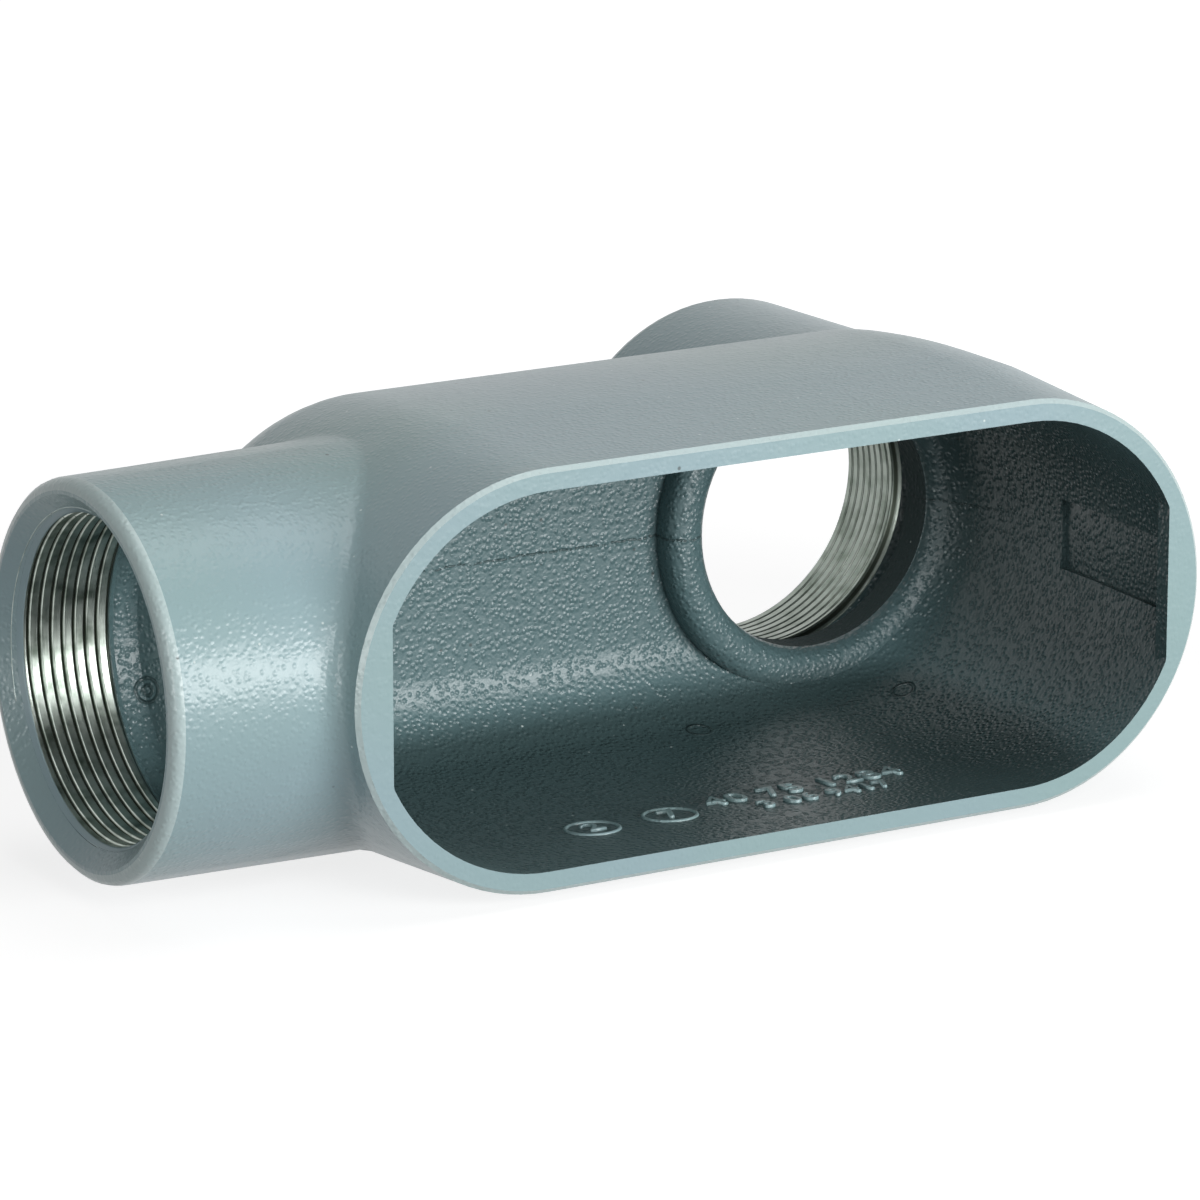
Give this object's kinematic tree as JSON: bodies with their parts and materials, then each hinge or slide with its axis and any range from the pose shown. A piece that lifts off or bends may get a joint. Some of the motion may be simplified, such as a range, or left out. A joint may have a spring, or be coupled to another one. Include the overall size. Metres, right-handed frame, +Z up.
{
  "type": "conduit body",
  "caption": "Painted cast iron conduit body with a threaded hub on one end, a threaded hub on its back and a long round-ended cover opening.",
  "frame": {"origin": "bottom centre of the casting's box, on the surface that it rests on", "axes": "+X runs along the body away from the side hub, +Y runs from the cover opening to the mouth of the back hub, +Z is up"},
  "size_m": [0.2098, 0.1122, 0.08],
  "materials": {
    "painted_iron": "grey enamel over cast iron, satin, slightly pebbled inside",
    "cut_thread": "bare cut thread, bright with a faint green-yellow tint"
  },
  "bodies": {
    "root": {"conduit_body": "painted_iron"}
  },
  "joints": []
}
